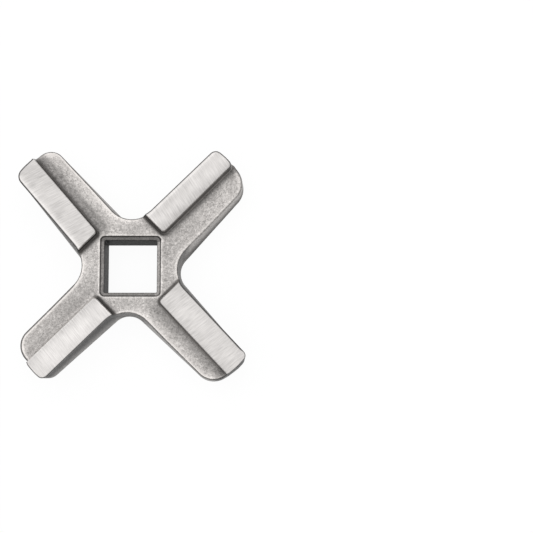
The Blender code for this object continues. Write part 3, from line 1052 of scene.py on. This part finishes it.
# The dull mark weakens the shine of some walls and of the hole, as painted shade.
tree.links.new(one_minus(tree, mark(tree, "dull")), shader.inputs["Specular Tint"])
tree.links.new(ramp(tree, patches, (0.3, 0.62), (0.7, 0.44)), shader.inputs["Roughness"])
relief = plus(tree, times(tree, patches, 0.6), times(tree, pits, 0.25))
bump = add(tree, "ShaderNodeBump", {"Height": relief, "Strength": 0.5, "Distance": 0.06 * MM})
tree.links.new(bump.outputs[0], shader.inputs["Normal"])
print("cast steel:", len(tree.nodes), "nodes")

# %% [markdown]
# The cast skin in relief
#
# A casting is never flat. It swells and sinks by a few hundredths of a millimetre, and metal shows that at
# once. A bump could fake it, but bump leaves the mesh itself flat, so here a Geometry Nodes tree moves the
# points: along their normals, inwards only, by noise on two scales. The ground lands stay true, because the
# "cast" mark is zero there. The same tree hands out the two finishes.

# %% Skin tree
def skin_tree():
    """A modifier that sinks the casting by noise and sets the two materials."""
    tree = bpy.data.node_groups.new("cast skin", "GeometryNodeTree")
    sockets = tree.interface
    sockets.new_socket("Geometry", in_out="INPUT", socket_type="NodeSocketGeometry")
    sockets.new_socket("Depth", in_out="INPUT", socket_type="NodeSocketFloat")
    sockets.new_socket("Patch size", in_out="INPUT", socket_type="NodeSocketFloat")
    sockets.new_socket("Geometry", in_out="OUTPUT", socket_type="NodeSocketGeometry")
    inputs, outputs = tree.nodes.new("NodeGroupInput"), tree.nodes.new("NodeGroupOutput")
    position = add(tree, "GeometryNodeInputPosition").outputs[0]
    finer = add(tree, "ShaderNodeMath", {0: 1.0, 1: inputs.outputs["Patch size"]}, operation="DIVIDE")
    small = noise(tree, position, finer.outputs[0], 2.0)
    coarser = times(tree, finer.outputs[0], 0.3)
    large = noise(tree, position, coarser, 1.0)
    amount = times(tree, plus(tree, small, large), -0.5)
    mask = add(tree, "GeometryNodeInputNamedAttribute", {"Name": "cast"}, data_type="FLOAT").outputs[0]
    depth = times(tree, times(tree, amount, inputs.outputs["Depth"]), mask)
    normal = add(tree, "GeometryNodeInputNormal").outputs[0]
    offset = add(tree, "ShaderNodeVectorMath", {0: normal, 3: depth}, operation="SCALE").outputs[0]
    moved = add(tree, "GeometryNodeSetPosition", {"Geometry": inputs.outputs["Geometry"], "Offset": offset})
    real = add(tree, "GeometryNodeRealizeInstances", {"Geometry": moved.outputs[0]})
    dull = add(tree, "GeometryNodeSetMaterial", {"Geometry": real.outputs[0], "Material": cast_steel})
    is_ground = add(tree, "GeometryNodeInputNamedAttribute", {"Name": "ground"}, data_type="BOOLEAN")
    bright = add(tree, "GeometryNodeSetMaterial", {"Geometry": dull.outputs[0], "Material": ground_steel,
                                                   "Selection": is_ground.outputs[0]})
    tree.links.new(bright.outputs[0], outputs.inputs[0])
    return tree


def baked(mesh, tree, name, **values):
    """A new object with the tree's result as its mesh, and no modifier left on it."""
    rough = bpy.data.objects.new("rough " + name, mesh)
    bpy.context.scene.collection.objects.link(rough)
    modifier = rough.modifiers.new(tree.name, "NODES")
    modifier.node_group = tree
    for socket in tree.interface.items_tree:
        if socket.in_out == "INPUT" and socket.name in values:
            modifier[socket.identifier] = values[socket.name]
    seen = rough.evaluated_get(bpy.context.evaluated_depsgraph_get())
    result = bpy.data.meshes.new_from_object(seen)
    bpy.data.objects.remove(rough)
    piece = bpy.data.objects.new(name, result)
    bpy.context.scene.collection.objects.link(piece)
    return piece


knife = baked(knife_mesh, skin_tree(), "knife", **{"Depth": 0.05 * MM, "Patch size": 1.2 * MM})
print("finishes on the knife:", [material.name for material in knife.data.materials])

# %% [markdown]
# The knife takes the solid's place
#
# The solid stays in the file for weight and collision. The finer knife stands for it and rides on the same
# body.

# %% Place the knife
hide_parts("cross_knife")
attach(knife, "root")
print("on body root:", knife.name)

# %% [markdown]
# The camera
#
# The knife was photographed from almost straight above, with the camera standing to the right of it and a
# little in front. So the walls that face right and front are seen, and the hole shows its left and rear
# walls. The camera looks down with a small pitch and needs no shift.

# %% Camera
pitch = math.radians(6.84)
camera_data = bpy.data.cameras.new("camera")
camera_data.sensor_width = 36
camera_data.lens = 94.56
camera_data.clip_start = 0.01
camera = bpy.data.objects.new("camera", camera_data)
camera.location = (0.03235, -0.03969, 0.33858)
camera.rotation_euler = (pitch, 0, 0)
bpy.context.scene.collection.objects.link(camera)
bpy.context.scene.camera = camera
print("camera", round(camera.location.z, 3), "m above the floor")

# %% [markdown]
# The floor
#
# The knife lies on a plain white floor. To the light the floor is an ordinary matt white. To the camera,
# and in reflections, it glows a little as well, so that it reads as clean white and still takes a faint
# shadow where the knife shades it.

# %% Floor
bpy.ops.mesh.primitive_plane_add(size=4)
floor = bpy.context.object
floor.name = "floor"
white = bpy.data.materials.new("white floor")
white.use_nodes = True
tree = white.node_tree
tree.nodes.clear()
matt = add(tree, "ShaderNodeBsdfDiffuse", {"Color": (0.8, 0.8, 0.8, 1)})
paler = add(tree, "ShaderNodeBsdfDiffuse", {"Color": (0.09, 0.09, 0.09, 1)})
glow = add(tree, "ShaderNodeEmission", {"Strength": 0.94})
seen_floor = add(tree, "ShaderNodeAddShader", {0: paler.outputs[0], 1: glow.outputs[0]})
rays = add(tree, "ShaderNodeLightPath")
seen = add(tree, "ShaderNodeMath", {0: rays.outputs["Is Camera Ray"], 1: rays.outputs["Is Glossy Ray"]},
           operation="MAXIMUM")
seen = add(tree, "ShaderNodeMath", {0: seen.outputs[0], 1: rays.outputs["Is Transmission Ray"]},
           operation="MAXIMUM")
both = add(tree, "ShaderNodeMixShader", {0: seen.outputs[0], 1: matt.outputs[0], 2: seen_floor.outputs[0]})
add(tree, "ShaderNodeOutputMaterial", {"Surface": both.outputs[0]})
floor.data.materials.append(white)
floor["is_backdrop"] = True
print("floor of", round(floor.dimensions.x, 1), "m")

# %% [markdown]
# The light
#
# One large soft lamp hangs above the knife, to the left and behind, and a plain pale surrounding fills the
# rest. Steel shows what stands around it, so the lamp's size matters more than its strength: it fills most
# of what the flat lands mirror.

# %% Light
lamp_data = bpy.data.lights.new("soft lamp", "AREA")
lamp_data.size = 1.2
lamp_data.energy = 3.3
lamp = bpy.data.objects.new("soft lamp", lamp_data)
lamp.location = (-0.12, 0.15, 0.9)
lamp.rotation_euler = (-lamp.location).to_track_quat("-Z", "Y").to_euler()
bpy.context.scene.collection.objects.link(lamp)

world = bpy.data.worlds.new("pale room")
world.use_nodes = True
world.node_tree.nodes["Background"].inputs["Color"].default_value = (1, 1, 1, 1)
world.node_tree.nodes["Background"].inputs["Strength"].default_value = 0.5
bpy.context.scene.world = world
bpy.context.scene.view_settings.view_transform = "Standard"
print("lamp of", round(lamp_data.size, 1), "m at", tuple(round(v, 2) for v in lamp.location))

# %% [markdown]
# The knife's size
#
# The finer knife has to keep the solid's size. Both boxes are printed.

# %% Sizes
low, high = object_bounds()
print("the knife's box in mm:", [round(v / MM, 2) for v in (*low, *high)])
